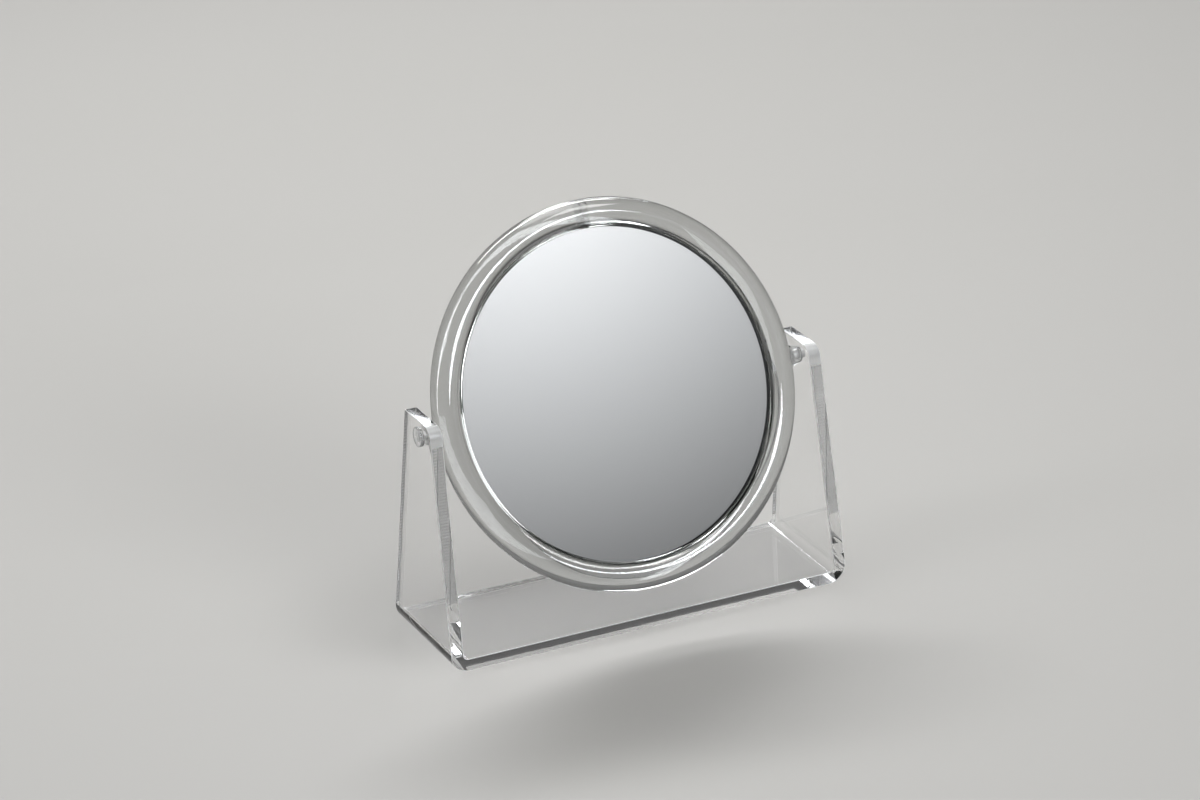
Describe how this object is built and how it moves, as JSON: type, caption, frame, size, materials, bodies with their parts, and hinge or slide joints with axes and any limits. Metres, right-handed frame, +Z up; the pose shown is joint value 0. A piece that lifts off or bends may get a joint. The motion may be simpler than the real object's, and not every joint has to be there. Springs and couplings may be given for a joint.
{
  "type": "tilting table mirror",
  "caption": "Round tilting table mirror in a clear acrylic rod ring, pivoted between the tapered uprights of a bent clear acrylic stand.",
  "frame": {"origin": "middle of the base's underside, on the floor and under the pivot axis", "axes": "+Z up, +Y to the back, +X along the pivot axis to the right as seen from the front"},
  "size_m": [0.2056, 0.0833, 0.1912],
  "materials": {
    "clear_acrylic_sheet": "clear, polished faces with finely sawn edges",
    "clear_acrylic_rod": "clear, polished",
    "mirror_glass": "clear, polished, ground edge",
    "silvering": "silvered behind glass",
    "white_spacer": "matt white",
    "clear_pivot_plastic": "clear, moulded"
  },
  "bodies": {
    "stand": {"stand": "clear_acrylic_sheet"},
    "mirror": {"frame_ring": "clear_acrylic_rod", "ring_closing_segment": "clear_acrylic_rod", "front_mirror_glass": "mirror_glass", "front_mirror_silvering": "silvering", "rear_mirror_glass": "mirror_glass", "rear_mirror_silvering": "silvering", "mirror_spacer_ring": "white_spacer", "left_pivot_pin": "clear_pivot_plastic", "left_inner_washer": "clear_pivot_plastic", "right_pivot_pin": "clear_pivot_plastic", "right_washer": "clear_pivot_plastic", "right_spacer": "clear_pivot_plastic"}
  },
  "joints": [
    {"name": "mirror_tilt", "type": "hinge", "parent": "stand", "child": "mirror", "pos_m": [0, 0, 0.107], "axis": [1, 0, 0], "continuous": true}
  ]
}
